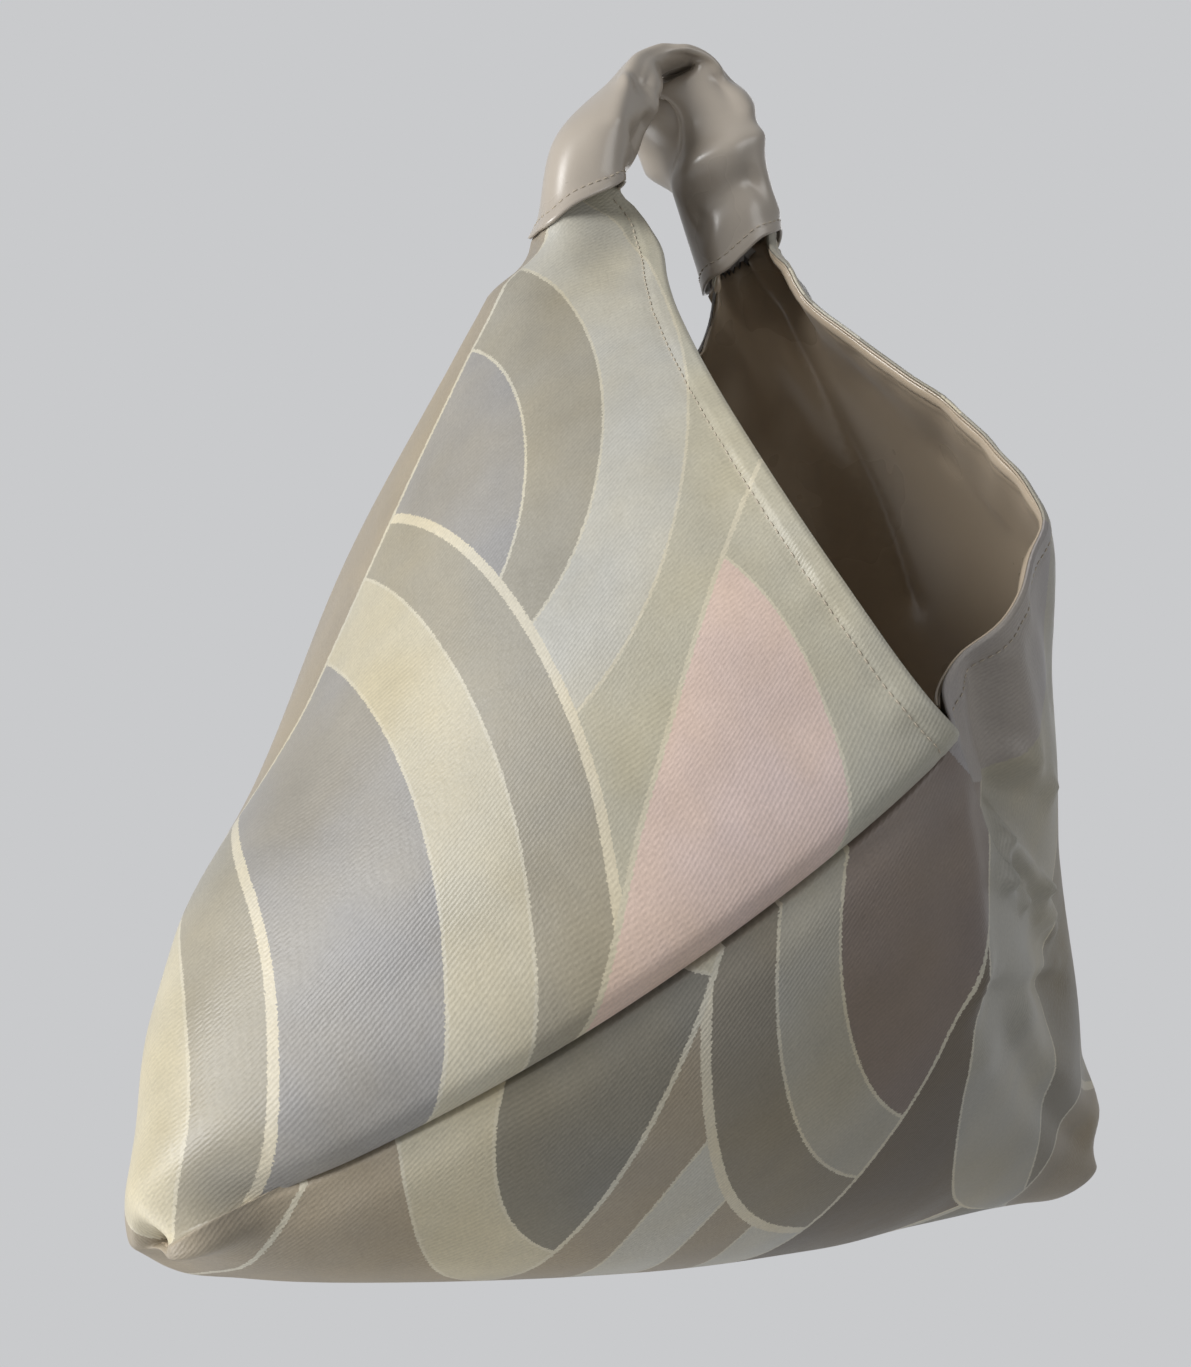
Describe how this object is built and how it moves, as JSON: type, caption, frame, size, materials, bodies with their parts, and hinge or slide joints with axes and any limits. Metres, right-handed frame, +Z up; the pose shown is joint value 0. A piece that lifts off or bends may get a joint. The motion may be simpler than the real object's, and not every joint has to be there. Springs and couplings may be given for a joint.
{
  "type": "azuma bukuro bag",
  "caption": "Soft bag folded and sewn from one long strip of lined brocade, with an open slanting mouth and a satin sleeve over its peaks for a handle.",
  "frame": {"origin": "middle of the flat underside of the handle's top, where a hook or a hand holds the bag", "axes": "+Z up, +X from the left bottom corner to the right one, -Y towards the front valley of the mouth"},
  "size_m": [0.4234, 0.2989, 0.4575],
  "materials": {
    "brocade": "woven, soft sheen",
    "lining_satin": "satin",
    "handle_satin": "satin",
    "thread": "matt"
  },
  "bodies": {
    "handle": {"handle_sleeve": "handle_satin", "rim_thread_left": "thread", "rim_thread_right": "thread"},
    "bag": {"outer_strip": "brocade", "lining_strip": "lining_satin", "hem_thread_front_left": "thread", "hem_thread_back_left": "thread", "hem_thread_back_right": "thread", "hem_thread_front_right": "thread"}
  },
  "joints": [
    {"name": "bag_swing", "type": "hinge", "parent": "handle", "child": "bag", "pos_m": [0, 0, -0.0504], "axis": [1, 0, 0], "range_deg": [-45, 45]}
  ]
}
